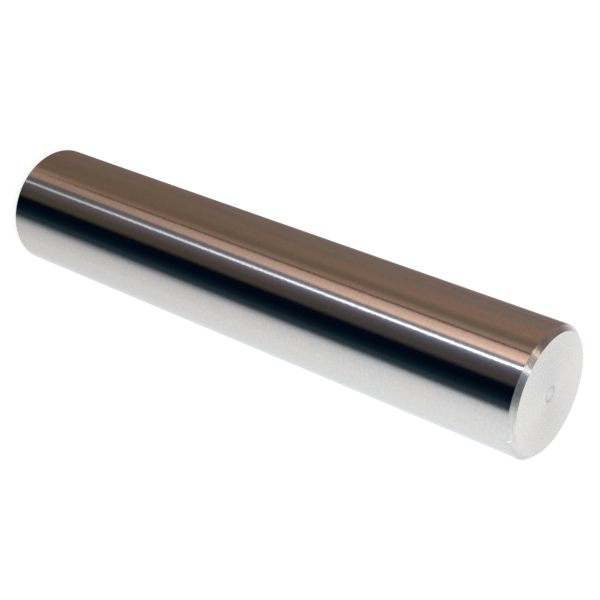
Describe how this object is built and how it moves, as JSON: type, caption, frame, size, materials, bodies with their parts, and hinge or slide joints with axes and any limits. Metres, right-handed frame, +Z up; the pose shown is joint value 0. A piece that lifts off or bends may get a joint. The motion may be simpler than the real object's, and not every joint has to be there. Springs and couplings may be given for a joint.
{
  "type": "rotary shaft",
  "caption": "Straight round steel shaft with a ground outside, chamfered ends and a shallow turned centre mark on each end face; it carries or turns in bearings, hubs and rollers.",
  "frame": {"origin": "centre of the lower end face, on the surface the shaft stands on", "axes": "+Z up along the shaft's axis, from the lower end face to the upper one; the shaft is round, so X and Y are any pair square to it"},
  "size_m": [0.025, 0.025, 0.125],
  "materials": {
    "ground_steel": "fine ground outside with faint rings round the axis, turned pale end faces and chamfers"
  },
  "bodies": {
    "root": {"shaft": "ground_steel"}
  },
  "joints": []
}
